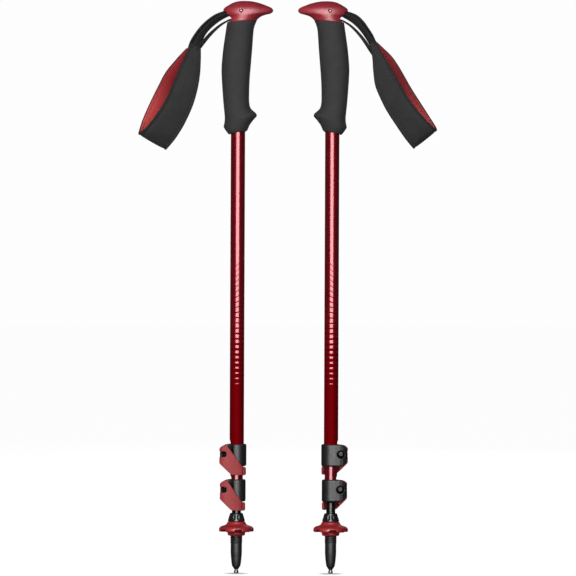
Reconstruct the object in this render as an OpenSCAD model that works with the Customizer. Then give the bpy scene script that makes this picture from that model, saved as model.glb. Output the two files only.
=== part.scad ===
// A pair of three-section trekking poles with lever clamps, collapsed and
// standing on their tips. Millimetres, +Z up. The origin is on the floor,
// half way along and across the pair. The left pole wears its clamp levers on
// -Y and its strap on -X; the right pole is the same pole turned half a turn.

/* [Pair] */
// Distance between the two pole axes
pair_spacing = 105.6; // [90:0.2:130]
// Shift that centres the pair, straps included, over the origin
pair_shift = -3.0; // [-6:0.5:6]

/* [Shafts] */
// Outer diameter of the upper shaft
upper_d = 16; // [15.6:0.2:16]
// Wall of the shaft tubes
tube_wall = 0.9; // [0.8:0.1:0.9]
// Running clearance between one tube and the next, on the radius
tube_fit = 0.1; // [0.06:0.02:0.1]
// Length of the middle shaft
middle_len = 480; // [450:5:500]
// Height of the top of the lower shaft above the floor
lower_top = 540; // [500:5:542]
// Width of the relief slot at a tube's clamped end
relief_w = 8; // [4:0.5:8]

/* [Grip] */
// Height of the top of the grip cap, which is the packed length of a pole
pole_h = 640; // [640:1:641]
// Outer radius of the grip core under the foam
core_r = 10; // [9.5:0.1:10]
// Half thickness of the cap across the hand
cap_half = 15; // [14:0.5:16]
// Diameter of the cross pin that holds the strap
strap_pin_d = 3; // [2.5:0.1:3]

/* [Clamps] */
// Outer radius of the upper clamp collar
upper_collar_r = 10.9; // [10.8:0.1:11]
// Outer radius of the lower clamp collar
lower_collar_r = 10.2; // [10.1:0.1:10.3]
// Radius of the cam head of a lever
cam_r = 8.1; // [7.8:0.1:8.1]
// Clearance between a moving cam head and its collar
cam_gap = 0.35; // [0.3:0.05:0.4]
// Radius of the barrel nut that a lever turns on
nut_r = 2.5; // [2.4:0.1:2.5]
// Radius of the clamp screw
screw_r = 2; // [1.8:0.1:2]

/* [Tip] */
// Outer radius of the basket flange
basket_r = 19.4; // [18:0.1:25]
// Outer radius of the ferrule's plain barrel, which a rubber foot fits over
ferrule_r = 6.3; // [6.2:0.05:6.3]

/* [Wrist straps] */
// Thickness of the strap's outer shell
pad_shell = 3; // [2.5:0.1:3]
// Thickness of the strap's lining
pad_lining = 1.5; // [1:0.1:1.5]
// Half of the free gap between the two sides of the loop
loop_half = 12; // [11:0.5:12]
// Width of the strap at its fold
pad_w = 33; // [31:0.5:34]

/* [Hidden] */
$fn = 48;

anodised = [0.48, 0.05, 0.08];
red_plastic = [0.66, 0.17, 0.19];
black_plastic = [0.12, 0.12, 0.13];
eva = [0.16, 0.15, 0.16];
steel = [0.6, 0.6, 0.62];
e = 0.01;

// Tube radii, outside then inside, from the grip down
upper_ro = upper_d / 2;
upper_ri = upper_ro - tube_wall;
middle_ro = upper_ri - tube_fit;
middle_ri = middle_ro - tube_wall;
lower_ro = middle_ri - tube_fit;
lower_ri = lower_ro - tube_wall;

// Heights of the clamps
upper_z = 119.9;      // bottom of the upper collar
lower_z = 80.3;       // bottom of the lower collar
collar_h = 24.9;
seat = 5;             // a tube's end stands this far above its collar's bottom
upper_end = upper_z + seat;
middle_end = lower_z + seat;
shaft_top = 612;

// Where the strap turns on the cap
strap_x = -15;
strap_z = 621.5;

// Cross pin in the cap
pin_x = 3;
pin_z = 629.3;

// Sections of the foam, from the bottom up: rear x, rear z, front x, front z, half width
foam_rings = [
  [-10.4, 491.3, 10.2, 495.7, 10.5], [-12.4, 493.6, 11.7, 498.7, 12.3], [-14.1, 495.9, 13.5, 502.5, 13.4],
  [-15.6, 498.2, 17.2, 507.5, 14.3], [-16.2, 500, 20.8, 511.4, 14.9], [-15.4, 503.9, 20.2, 514.9, 14.8],
  [-15, 507, 17.4, 517.4, 14.5], [-15, 511, 14.5, 520.2, 14.1], [-15.4, 515.5, 13.1, 523.4, 13.8],
  [-16.2, 523, 12.4, 528.3, 13.6], [-16.9, 531, 12.3, 534.4, 13.6], [-17.8, 543, 12.5, 545, 13.9],
  [-18.7, 558, 13.2, 559, 14.2], [-18.7, 568, 14, 568, 14.2], [-16.9, 588, 15.6, 588, 13.8],
  [-15.2, 600, 16.4, 600, 13.5], [-13.9, 609, 17.3, 609.3, 13.4], [-12.6, 616, 20, 617.6, 13.5]];
// Sections of the cap, in the same form, with the width as a share of cap_half
cap_rings = [
  [-12.4, 616.4, 20.4, 618, 0.9], [-11.2, 618, 21.4, 620.2, 0.93], [-10.3, 620.5, 22.5, 621.5, 0.96],
  [-11.6, 623, 28, 624.8, 0.99], [-15.1, 625.7, 35, 627, 1], [-16.5, 629, 38, 629.5, 0.99], [-16.2, 631.2, 37.6, 631.6, 0.97],
  [-14.2, 633.6, 34.4, 634.1, 0.9], [-11, 636.1, 30, 636.2, 0.79], [-7.6, 638, 25.4, 637.9, 0.66],
  [-4, 639.4, 19.7, 639.4, 0.48], [1.5, 640.6, 13, 640.6, 0.22]];

function ring(s, wide, n) =
  [for (i = [0:n - 1]) let (a = 360 * i / n, x = (s[0] + s[2]) / 2 + (s[2] - s[0]) / 2 * cos(a))
    [x, wide * s[4] * sin(a), s[1] + (s[3] - s[1]) * (x - s[0]) / (s[2] - s[0])]];

// A closed skin through a stack of oval sections
module loft(rings, wide = 1, n = 32) {
  m = len(rings);
  polyhedron(
    points = [for (s = rings) each ring(s, wide, n)],
    faces = concat(
      [[for (i = [0:n - 1]) i]],
      [[for (i = [n - 1:-1:0]) (m - 1) * n + i]],
      [for (j = [0:m - 2]) for (i = [0:n - 1]) [j * n + i, (j + 1) * n + i, (j + 1) * n + (i + 1) % n]],
      [for (j = [0:m - 2]) for (i = [0:n - 1]) [j * n + i, (j + 1) * n + (i + 1) % n, j * n + (i + 1) % n]]));
}

module tube(ro, ri, z0, z1) {
  difference() {
    translate([0, 0, z0]) cylinder(r = ro, h = z1 - z0, $fn = 64);
    translate([0, 0, z0 - 1]) cylinder(r = ri, h = z1 - z0 + 2, $fn = 64);
  }
}

// Bar along Y
module ybar(x, z, r, y0, y1) { translate([x, y0, z]) rotate([-90, 0, 0]) cylinder(r = r, h = y1 - y0); }

// ---------------------------------------------------------------- grip

module grip_cap() {
  color(red_plastic) difference() {
    union() {
      loft(cap_rings, cap_half);
      translate([0, 0, 600]) cylinder(r = upper_ri - 0.1, h = 25);
    }
    // strap pocket, and its mouth at the rear under the lip
    translate([-10.5, -7.5, 620]) cube([17.5, 15, 13.8]);
    translate([-30, -7.5, 618.6]) cube([20, 15, 9.8]);
    ybar(strap_x, strap_z, 6, -7.5, 7.5);
    // cross pin hole
    ybar(pin_x, pin_z, strap_pin_d / 2 + 0.05, -20, 20);
  }
}

module strap_pin() { color(steel) ybar(pin_x, pin_z, strap_pin_d / 2, -14.2, 14.2); }

// Webbing folded round the pin
module strap_anchor() {
  color(black_plastic) translate([0, 6.5, 0]) rotate([90, 0, 0]) linear_extrude(13) difference() {
    union() {
      translate([pin_x, pin_z]) circle(r = 3.3);
      translate([-8.5, pin_z - 3.3]) square([8.5 + pin_x, 6.6]);
    }
    translate([pin_x, pin_z]) circle(r = strap_pin_d / 2 + 0.08);
    translate([-9.5, pin_z - 1.6]) square([9.5 + pin_x, 3.2]);
  }
}

module strap_wedge() {
  color(black_plastic) translate([0, 6.5, 0]) rotate([90, 0, 0]) linear_extrude(13)
    polygon([[-8.5, pin_z - 1.4], [-1, pin_z - 0.6], [-1, pin_z + 0.6], [-8.5, pin_z + 1.4]]);
}

module grip_foam() {
  color(eva) difference() {
    loft(foam_rings);
    translate([0, 0, 480]) cylinder(r = core_r + 0.05, h = 160, $fn = 64);
  }
}

module grip_core() { color(black_plastic) tube(core_r, upper_ro + 0.05, 500, 616); }

// ---------------------------------------------------------------- shafts

module relief(z0, z1) {
  translate([-12, -relief_w / 2, z0 - 1]) cube([12, relief_w, z1 - z0 + 1 - relief_w / 2]);
  translate([-12, 0, z1 - relief_w / 2]) rotate([0, 90, 0]) cylinder(r = relief_w / 2, h = 12);
}

module upper_shaft() {
  color(anodised) difference() {
    tube(upper_ro, upper_ri, upper_end, shaft_top);
    relief(upper_end, 149.5);
  }
}

module middle_shaft() {
  color(anodised) difference() {
    tube(middle_ro, middle_ri, middle_end, middle_end + middle_len);
    relief(middle_end, 109.5);
  }
}

module lower_shaft() {
  color(black_plastic) rotate_extrude($fn = 64)
    polygon([[lower_ri - 0.9, 40], [lower_ro - 0.9, 40], [lower_ro - 0.9, 79], [lower_ro, 84],
             [lower_ro, lower_top], [lower_ri, lower_top], [lower_ri, 84], [lower_ri - 0.9, 79]]);
}

// Plastic plug that centres a tube's top end in the next tube
module guide(z, ri, ro) {
  color(black_plastic) rotate_extrude($fn = 64)
    polygon([[1.5, z - 10], [ri - 0.05, z - 10], [ri - 0.05, z], [ro, z], [ro, z + 2.5], [1.5, z + 2.5]]);
}
module middle_guide() { guide(middle_end + middle_len, middle_ri, upper_ri - 0.05); }
module lower_guide() { guide(lower_top, lower_ri, middle_ri - 0.05); }

// ---------------------------------------------------------------- clamps
// px, py: the barrel nut's axis; cr: collar radius; cam: cam head radius

// i: how far this layer is drawn in, for the rounded rims
module ear_plan(cr, px, i) {
  circle(r = cr - i, $fn = 64);
  polygon([[0, cr - i], [px + 6, cr - 0.3 - i], [px + 1, cr - 0.9 - i], [px - 2.4 + i / 2, cr - 1.9 - i], [px - 5.2 + i, cr - 3.7 - i],
           [px - 7 + i, cr - 6.1 - i / 2], [px - 7.6 + i, cr - 9], [px - 7.6 + i, -4 + i], [px - 6.9 + i, -6.3 + i], [px - 5.5, -8 + i],
           [px + 4, -9 + i]]);
}

// Side outline of a clamp's ear: flat at the tube, round at the nut
module ear_side(z, px, cr, h) {
  translate([0, 20, 0]) rotate([90, 0, 0]) linear_extrude(40)
    polygon([[cr + 1, z], [cr + 1, z + h], [px + 5, z + h], [px + 1.6, z + h - 0.3], [px - 1.6, z + h - 1], [px - 4.2, z + h - 2.2],
             [px - 6.2, z + h - 4.4], [px - 7.3, z + h - 7.4], [px - 7.8, z + h - 11], [px - 7.8, z + 11.5], [px - 7.4, z + 8], [px - 6.3, z + 5],
             [px - 4.3, z + 2.4], [px - 1.5, z + 0.7], [px + 1.6, z]]);
}

module collar(z, px, py, cr, cam, tube_r, inner_r) {
  zm = z + collar_h / 2 + 1.2;
  color(black_plastic) difference() {
    intersection() {
      union() {
        translate([0, 0, z]) linear_extrude(collar_h) ear_plan(cr, px, 1.3);
        translate([0, 0, z + 0.4]) linear_extrude(collar_h - 0.8) ear_plan(cr, px, 0.4);
        translate([0, 0, z + 1.3]) linear_extrude(collar_h - 2.6) ear_plan(cr, px, 0);
      }
      ear_side(z, px, cr, collar_h);
    }
    // seat of the outer tube, and the passage of the inner one
    translate([0, 0, z + seat]) cylinder(r = tube_r + 0.05, h = 40, $fn = 64);
    translate([0, 0, z - 1]) cylinder(r = inner_r + 0.1, h = 40, $fn = 64);
    // split between the ears
    translate([-30, -0.8, z - 1]) cube([25, 1.6, collar_h + 2]);
    // saddle that the cam head turns in
    translate([px, py, z - 1]) cylinder(r = cam + cam_gap, h = collar_h + 2, $fn = 64);
    // screw hole and its counterbore
    ybar(px, zm, screw_r + 0.1, -12, 12);
    ybar(px, zm, 4.5, 5.6, 14);
  }
}

// Button-head screw with a hexagon socket
module screw(z, px, py) {
  zm = z + collar_h / 2 + 1.2;
  color(steel) difference() {
    union() {
      ybar(px, zm, screw_r, py - 1.6, 5.7);
      translate([px, 5.6, zm]) rotate([-90, 0, 0]) rotate_extrude()
        polygon([[0, 0], [3.9, 0], [3.9, 1], [3.6, 1.9], [2.9, 2.5], [1.8, 2.8], [0, 2.9]]);
    }
    translate([px, 6.6, zm]) rotate([-90, 0, 0]) cylinder(r = 1.7, h = 4, $fn = 6);
  }
}

module pivot(z, px, py) {
  zm = z + collar_h / 2 + 1.2;
  color(black_plastic) difference() {
    translate([px, py, z + 2.5]) cylinder(r = nut_r, h = 20.3);
    ybar(px, zm, screw_r + 0.03, py - 1.7, py + 10);
  }
}

// Room for the screw as the lever swings: h is half its height, w half the width at either end
module swing_slot(px, py, zm, h, w, open_a) {
  translate([px, py, zm - h]) linear_extrude(2 * h) {
    polygon([[0, 0], [0, 22], [-16, 16], [-22, 0], [-20, -12], [22 * cos(open_a), 22 * sin(open_a)]]);
    translate([-w, 0]) square([2 * w, 22]);
    rotate(open_a) translate([0, -w]) square([22, 2 * w]);
  }
}

module lever(z, px, py, cr, cam) {
  zm = z + collar_h / 2 + 1.2;
  k = cr / upper_collar_r;
  color(red_plastic) difference() {
    intersection() {
      translate([0, 0, z - 12]) linear_extrude(37) difference() {
        union() {
          intersection() {
            translate([px, py]) circle(r = cam, $fn = 64);
            translate([-40, py]) square([60, 30]);
          }
          // head and arm, along their outer face
          polygon([[px - cam, py], [px - 7.5, py - 1.7], [px - 5.9, py - 2.9], [px - 3.4, py - 3.6], [px, py - 3.8],
                   [px + 4.1, py - 3.6], [px + 7.8, py - 3.1], [0.3 * k, py - 2.4], [3 * k, py - 1.8], [5.2 * k, py - 1.1],
                   [6.6 * k, -14.4 * k], [7.1 * k, -13.3 * k], [9.2 * k, -12.4 * k], [10.4 * k, -11.2 * k], [10.7 * k, -9.6 * k],
                   [0, 0], [-7, -6.5]]);
        }
        circle(r = cr + 0.35, $fn = 64);
      }
      rotate([90, 0, 0]) linear_extrude(40)
        polygon([[px - 8.6, z + 5.2], [px - 8.6, z + 18.2], [px - 8.1, z + 19.9], [px - 6.9, z + 21.5], [px - 5, z + 22.8], [px - 2.8, z + 23.6],
                 [px - 0.6, z + 23.9], [px + 0.7, z + 23.4], [px + 1.7, z + 22.3], [5.9 * k, z + 0.6], [6.9 * k, z - 0.1], [9.2 * k, z - 0.4],
                 [10.2 * k, z - 1], [10.6 * k, z - 2.2], [10.6 * k, z - 8.4], [10 * k, z - 9.5], [8.2 * k, z - 9.8], [-4.4, z - 9.3],
                 [-5.6, z - 9], [-6.8, z - 8.3], [px - 7.4, z + 2.8], [px - 8.3, z + 3.9]]);
    }
    // bore for the barrel nut, open at the top
    translate([px, py, z + 2.2]) cylinder(r = nut_r + 0.05, h = 40);
    swing_slot(px, py, zm, 2.5, 2.4, 230);
    swing_slot(px, py, zm, 3.2, 1.2, 222);
  }
}

ux = -11.1; uy = -14;      // upper barrel nut
lx = -10.6; ly = -13.5;    // lower barrel nut

module upper_collar() { collar(upper_z, ux, uy, upper_collar_r, cam_r, upper_ro, middle_ro); }
module upper_lever() { lever(upper_z, ux, uy, upper_collar_r, cam_r); }
module upper_pivot() { pivot(upper_z, ux, uy); }
module upper_screw() { screw(upper_z, ux, uy); }
module lower_collar() { collar(lower_z, lx, ly, lower_collar_r, cam_r - 0.2, middle_ro, lower_ro); }
module lower_lever() { lever(lower_z, lx, ly, lower_collar_r, cam_r - 0.2); }
module lower_pivot() { pivot(lower_z, lx, ly); }
module lower_screw() { screw(lower_z, lx, ly); }

// ---------------------------------------------------------------- tip

module tip_ferrule() {
  r1 = ferrule_r + 0.6;
  r0 = ferrule_r + 0.2;
  color(black_plastic) rotate_extrude($fn = 64)
    polygon(concat(
      [[1.65, 12], [1.65, 4.3], [2.2, 4.3], [3.2, 5.9], [4.7, 8.2], [5.3, 11.5], [5.7, 15], [6.1, 20], [ferrule_r, 23.5],
       [ferrule_r, 33.5]],
      [for (i = [0:3]) each [[r0, 34 + 2 * i], [r1, 34.4 + 2 * i], [r1, 35.2 + 2 * i], [r0, 35.6 + 2 * i]]],
      [[r1, 42], [r1, 58.4], [9.3, 58.4], [9.5, 59.2], [7, 67.3],
       [lower_ro - 0.85, 67.3], [lower_ro - 0.85, 39.8], [0.01, 39.8], [0.01, 12]]));
}

module basket() {
  b = ferrule_r + 0.6 + 0.08;
  color(red_plastic) rotate_extrude($fn = 96)
    polygon([[b, 42], [9.2, 42], [9.9, 42.9], [10.1, 46.4], [11.4, 47.3], [basket_r - 1, 47.2], [basket_r - 0.2, 47.8],
             [basket_r, 50.6], [basket_r - 0.6, 51.9], [basket_r - 4.4, 53.7], [11.4, 55.1], [10, 56.1], [9.6, 57.9], [9.2, 58.2],
             [b, 58.2]]);
}

module carbide_tip() {
  color(steel) rotate_extrude()
    polygon([[0, 0.9], [1.2, 0.6], [2, 0], [2.5, 0.4], [2.6, 1.5], [2.3, 2.8], [1.9, 3.6], [1.9, 4.2], [1.6, 4.2], [1.6, 11.9], [0, 11.9]]);
}

// ---------------------------------------------------------------- strap
// qx: where the padded part starts; lean: its angle from the vertical;
// reach: its length; the padded loop is tipped about its own length by tip.

loop_tip = 24;

module strap_webbing(qx, lean) {
  color(black_plastic) {
    ybar(strap_x, strap_z, 2.6, -6, 6);
    hull() {
      translate([strap_x - 1, 0.5, strap_z - 1]) cube([2, 2, 2]);
      translate([qx, 2.5, 590]) rotate([0, lean, 0]) translate([-6, -1, -0.5]) cube([12, 2, 1]);
    }
    hull() {
      translate([strap_x - 1, -2.5, strap_z - 1]) cube([2, 2, 2]);
      translate([qx, -2.5, 590]) rotate([0, lean, 0]) translate([-6, -1, -0.5]) cube([12, 2, 1]);
    }
  }
}

// Loop outline seen along the strap's width: x is the distance down the loop
module loop_plan(half, reach) {
  c = reach - loop_half - pad_shell - pad_lining;
  translate([c, 0]) circle(r = half, $fn = 64);
  polygon([[0.8, -half + 7], [38, -half], [c, -half], [c, half], [38, half], [0.8, half - 7]]);
}

module loop_solid(qx, lean, reach, outer, inner, w0, w1) {
  translate([qx, 0, 590]) rotate([0, lean, 0]) rotate([0, 0, loop_tip]) intersection() {
    // band, extruded along the strap's width (X), running down -Z
    rotate([0, 90, 0]) translate([0, 0, -30]) linear_extrude(60) difference() {
      loop_plan(outer, reach);
      loop_plan(inner, reach);
      translate([-5, -20]) square([5.8, 40]);
    }
    rotate([90, 0, 0]) translate([0, 0, -40]) linear_extrude(80)
      polygon([[-w0 / 2, 2], [w0 / 2, 2], [w1 / 2 - 2, -60], [w1 / 2, -95], [w1 / 2, -200], [-w1 / 2, -200], [-w1 / 2, -95], [-w1 / 2 + 2, -60]]);
  }
}

module strap_pad(qx, lean, reach) {
  color(black_plastic)
    loop_solid(qx, lean, reach, loop_half + pad_lining + pad_shell, loop_half + pad_lining + 0.05, 16, pad_w);
}
module strap_lining(qx, lean, reach) {
  color(red_plastic)
    loop_solid(qx, lean, reach, loop_half + pad_lining, loop_half, 14, pad_w - 1);
}

// ---------------------------------------------------------------- placing

left_x = -pair_spacing / 2 + pair_shift;
right_x = pair_spacing / 2 + pair_shift;
module left() { translate([left_x, 0, 0]) children(); }
module right() { translate([right_x, 0, 0]) rotate([0, 0, 180]) children(); }
// The right strap hangs as the left one's mirror image
module right_soft() { translate([right_x, 0, 0]) mirror([1, 0, 0]) children(); }

module left_grip_cap() { left() grip_cap(); }
module left_strap_pin() { left() strap_pin(); }
module left_strap_wedge() { left() strap_wedge(); }
module left_strap_anchor() { left() strap_anchor(); }
module left_strap_webbing() { left() strap_webbing(-50, 23.5); }
module left_strap_pad() { left() strap_pad(-50, 23.5, 115); }
module left_strap_lining() { left() strap_lining(-50, 23.5, 115); }
module left_grip_foam() { left() grip_foam(); }
module left_grip_core() { left() grip_core(); }
module left_upper_shaft() { left() upper_shaft(); }
module left_upper_collar() { left() upper_collar(); }
module left_upper_lever() { left() upper_lever(); }
module left_upper_pivot() { left() upper_pivot(); }
module left_upper_screw() { left() upper_screw(); }
module left_middle_shaft() { left() middle_shaft(); }
module left_middle_guide() { left() middle_guide(); }
module left_lower_collar() { left() lower_collar(); }
module left_lower_lever() { left() lower_lever(); }
module left_lower_pivot() { left() lower_pivot(); }
module left_lower_screw() { left() lower_screw(); }
module left_lower_shaft() { left() lower_shaft(); }
module left_lower_guide() { left() lower_guide(); }
module left_tip_ferrule() { left() tip_ferrule(); }
module left_basket() { left() basket(); }
module left_carbide_tip() { left() carbide_tip(); }

module right_grip_cap() { right() grip_cap(); }
module right_strap_pin() { right() strap_pin(); }
module right_strap_wedge() { right() strap_wedge(); }
module right_strap_anchor() { right() strap_anchor(); }
module right_strap_webbing() { right_soft() strap_webbing(-50, 28); }
module right_strap_pad() { right_soft() strap_pad(-50, 28, 118); }
module right_strap_lining() { right_soft() strap_lining(-50, 28, 118); }
module right_grip_foam() { right() grip_foam(); }
module right_grip_core() { right() grip_core(); }
module right_upper_shaft() { right() upper_shaft(); }
module right_upper_collar() { right() upper_collar(); }
module right_upper_lever() { right() upper_lever(); }
module right_upper_pivot() { right() upper_pivot(); }
module right_upper_screw() { right() upper_screw(); }
module right_middle_shaft() { right() middle_shaft(); }
module right_middle_guide() { right() middle_guide(); }
module right_lower_collar() { right() lower_collar(); }
module right_lower_lever() { right() lower_lever(); }
module right_lower_pivot() { right() lower_pivot(); }
module right_lower_screw() { right() lower_screw(); }
module right_lower_shaft() { right() lower_shaft(); }
module right_lower_guide() { right() lower_guide(); }
module right_tip_ferrule() { right() tip_ferrule(); }
module right_basket() { right() basket(); }
module right_carbide_tip() { right() carbide_tip(); }

left_grip_cap();
left_strap_pin();
left_strap_wedge();
left_strap_anchor();
left_strap_webbing();
left_strap_pad();
left_strap_lining();
left_grip_foam();
left_grip_core();
left_upper_shaft();
left_upper_collar();
left_upper_lever();
left_upper_pivot();
left_upper_screw();
left_middle_shaft();
left_middle_guide();
left_lower_collar();
left_lower_lever();
left_lower_pivot();
left_lower_screw();
left_lower_shaft();
left_lower_guide();
left_tip_ferrule();
left_basket();
left_carbide_tip();
right_grip_cap();
right_strap_pin();
right_strap_wedge();
right_strap_anchor();
right_strap_webbing();
right_strap_pad();
right_strap_lining();
right_grip_foam();
right_grip_core();
right_upper_shaft();
right_upper_collar();
right_upper_lever();
right_upper_pivot();
right_upper_screw();
right_middle_shaft();
right_middle_guide();
right_lower_collar();
right_lower_lever();
right_lower_pivot();
right_lower_screw();
right_lower_shaft();
right_lower_guide();
right_tip_ferrule();
right_basket();
right_carbide_tip();
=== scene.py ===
import math

import bmesh
import bpy
import numpy as np
from mathutils import Matrix, Vector


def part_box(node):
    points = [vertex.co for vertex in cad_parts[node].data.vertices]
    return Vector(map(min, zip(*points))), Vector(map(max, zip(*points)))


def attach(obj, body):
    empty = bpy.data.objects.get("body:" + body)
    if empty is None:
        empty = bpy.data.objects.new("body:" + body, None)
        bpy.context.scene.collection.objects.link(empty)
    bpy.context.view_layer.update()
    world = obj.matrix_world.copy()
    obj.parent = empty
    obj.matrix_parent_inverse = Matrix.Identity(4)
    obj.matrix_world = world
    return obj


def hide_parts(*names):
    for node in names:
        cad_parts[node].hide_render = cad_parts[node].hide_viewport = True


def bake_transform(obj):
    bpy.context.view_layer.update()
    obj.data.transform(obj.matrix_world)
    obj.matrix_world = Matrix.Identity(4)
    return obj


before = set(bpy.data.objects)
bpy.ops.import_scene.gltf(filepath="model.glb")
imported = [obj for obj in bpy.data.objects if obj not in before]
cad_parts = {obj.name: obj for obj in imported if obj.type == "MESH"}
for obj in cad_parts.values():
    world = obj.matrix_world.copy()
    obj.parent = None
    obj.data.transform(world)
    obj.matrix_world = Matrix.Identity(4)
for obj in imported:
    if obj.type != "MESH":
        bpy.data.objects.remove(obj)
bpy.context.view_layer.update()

MM = 0.001

# ------------------------------------------------------------------ frame


def axis_x(side):
    lo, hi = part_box(side + "_upper_shaft")
    return (lo.x + hi.x) / 2


AX = {"left": axis_x("left"), "right": axis_x("right")}


def place(side, p, turned=True):
    """Pole millimetres to world metres. The right pole is the left one turned half a turn; a strap is mirrored instead."""
    p = np.asarray(p, float)
    q = p.copy()
    if side == "right":
        q[..., 0] = -p[..., 0]
        if turned:
            q[..., 1] = -p[..., 1]
    q = q * MM
    q[..., 0] += AX[side]
    return q


def smooth_rows(rows, n):
    """Catmull-Rom through rows of numbers, n steps between two rows."""
    r = np.asarray(rows, float)
    a = np.vstack([2 * r[0] - r[1], r, 2 * r[-1] - r[-2]])
    out = []
    for i in range(1, len(a) - 2):
        p0, p1, p2, p3 = a[i - 1], a[i], a[i + 1], a[i + 2]
        for k in range(n):
            t = k / n
            out.append(0.5 * (2 * p1 + (p2 - p0) * t + (2 * p0 - 5 * p1 + 4 * p2 - p3) * t * t + (3 * p1 - p0 - 3 * p2 + p3) * t ** 3))
    out.append(a[-2])
    return np.array(out)


def new_object(name, verts, faces, smooth=True):
    me = bpy.data.meshes.new(name)
    me.from_pydata([tuple(v) for v in verts], [], faces)
    me.validate()
    bm = bmesh.new()
    bm.from_mesh(me)
    bmesh.ops.recalc_face_normals(bm, faces=bm.faces)
    bm.to_mesh(me)
    bm.free()
    me.polygons.foreach_set("use_smooth", [smooth] * len(me.polygons))
    ob = bpy.data.objects.new(name, me)
    bpy.context.scene.collection.objects.link(ob)
    return ob


def grid(rows, wrap_u=True, wrap_v=False, cap_start=False, cap_end=False):
    """Rows (R, N, 3) of points to verts and quads."""
    rows = np.asarray(rows, float)
    R, N = rows.shape[:2]
    verts = rows.reshape(-1, 3)
    faces = []
    for j in range(R if wrap_v else R - 1):
        j2 = (j + 1) % R
        for i in range(N if wrap_u else N - 1):
            i2 = (i + 1) % N
            faces.append((j * N + i, j * N + i2, j2 * N + i2, j2 * N + i))
    if cap_start:
        faces.append(tuple(range(N - 1, -1, -1)))
    if cap_end:
        faces.append(tuple((R - 1) * N + i for i in range(N)))
    return verts, faces


def apply_mods(ob):
    dg = bpy.context.evaluated_depsgraph_get()
    me = bpy.data.meshes.new_from_object(ob.evaluated_get(dg))
    old = ob.data
    ob.modifiers.clear()
    ob.data = me
    bpy.data.meshes.remove(old)
    ob.data.polygons.foreach_set("use_smooth", [True] * len(ob.data.polygons))
    return ob


def finish_piece(ob, mat, body, replaces=()):
    ob.data.materials.clear()
    ob.data.materials.append(mat)
    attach(ob, body)
    if replaces:
        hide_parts(*replaces)
    return ob


# ------------------------------------------------------------------ materials


class Mat:
    """Small helper for node materials in object coordinates, millimetres."""

    def __init__(self, name, **sockets):
        self.m = bpy.data.materials.new(name)
        self.m.use_nodes = True
        self.t = self.m.node_tree
        self.b = next(n for n in self.t.nodes if n.type == "BSDF_PRINCIPLED")
        for k, v in sockets.items():
            self.b.inputs[k.replace("_", " ")].default_value = v
        self.co = None

    def add(self, kind, **props):
        n = self.t.nodes.new(kind)
        for k, v in props.items():
            setattr(n, k, v)
        return n

    def link(self, a, b):
        self.t.links.new(a, b)

    def coords(self, offset=(0, 0, 0), scale=(1000, 1000, 1000)):
        tc = self.add("ShaderNodeTexCoord")
        mp = self.add("ShaderNodeMapping", vector_type="POINT")
        mp.inputs["Location"].default_value = offset
        mp.inputs["Scale"].default_value = scale
        self.link(tc.outputs["Object"], mp.inputs["Vector"])
        self.co = mp.outputs["Vector"]
        return self.co

    def noise(self, scale, detail=4.0, rough=0.55, vec=None, distortion=0.0):
        n = self.add("ShaderNodeTexNoise")
        n.inputs["Scale"].default_value = scale
        n.inputs["Detail"].default_value = detail
        n.inputs["Roughness"].default_value = rough
        n.inputs["Distortion"].default_value = distortion
        self.link(vec or self.co or self.coords(), n.inputs["Vector"])
        return n.outputs["Fac"]

    def math(self, op, a, b=None, c=None, clamp=False):
        n = self.add("ShaderNodeMath", operation=op, use_clamp=clamp)
        for i, v in enumerate((a, b, c)):
            if v is None:
                continue
            if isinstance(v, (int, float)):
                n.inputs[i].default_value = v
            else:
                self.link(v, n.inputs[i])
        return n.outputs[0]

    def remap(self, v, a, b, c, d, smooth=False):
        n = self.add("ShaderNodeMapRange", interpolation_type="SMOOTHSTEP" if smooth else "LINEAR")
        for k, x in zip(("From Min", "From Max", "To Min", "To Max"), (a, b, c, d)):
            n.inputs[k].default_value = x
        self.link(v, n.inputs["Value"])
        return n.outputs["Result"]

    def mix(self, fac, a, b):
        n = self.add("ShaderNodeMix", data_type="RGBA")
        if isinstance(fac, (int, float)):
            n.inputs[0].default_value = fac
        else:
            self.link(fac, n.inputs[0])
        for i, v in ((6, a), (7, b)):
            if isinstance(v, tuple):
                n.inputs[i].default_value = (*v[:3], 1)
            else:
                self.link(v, n.inputs[i])
        return n.outputs[2]

    def split(self, vec=None):
        n = self.add("ShaderNodeSeparateXYZ")
        self.link(vec or self.co or self.coords(), n.inputs[0])
        return n.outputs

    def bump(self, height, strength=0.3, distance=0.0002, chain=None):
        n = self.add("ShaderNodeBump")
        n.inputs["Strength"].default_value = strength
        n.inputs["Distance"].default_value = distance
        self.link(height, n.inputs["Height"])
        if chain is not None:
            self.link(chain, n.inputs["Normal"])
        return n.outputs["Normal"]

    def set(self, socket, v):
        if isinstance(v, tuple):
            self.b.inputs[socket].default_value = (*v[:3], 1)
        elif isinstance(v, (int, float)):
            self.b.inputs[socket].default_value = v
        else:
            self.link(v, self.b.inputs[socket])


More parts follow.
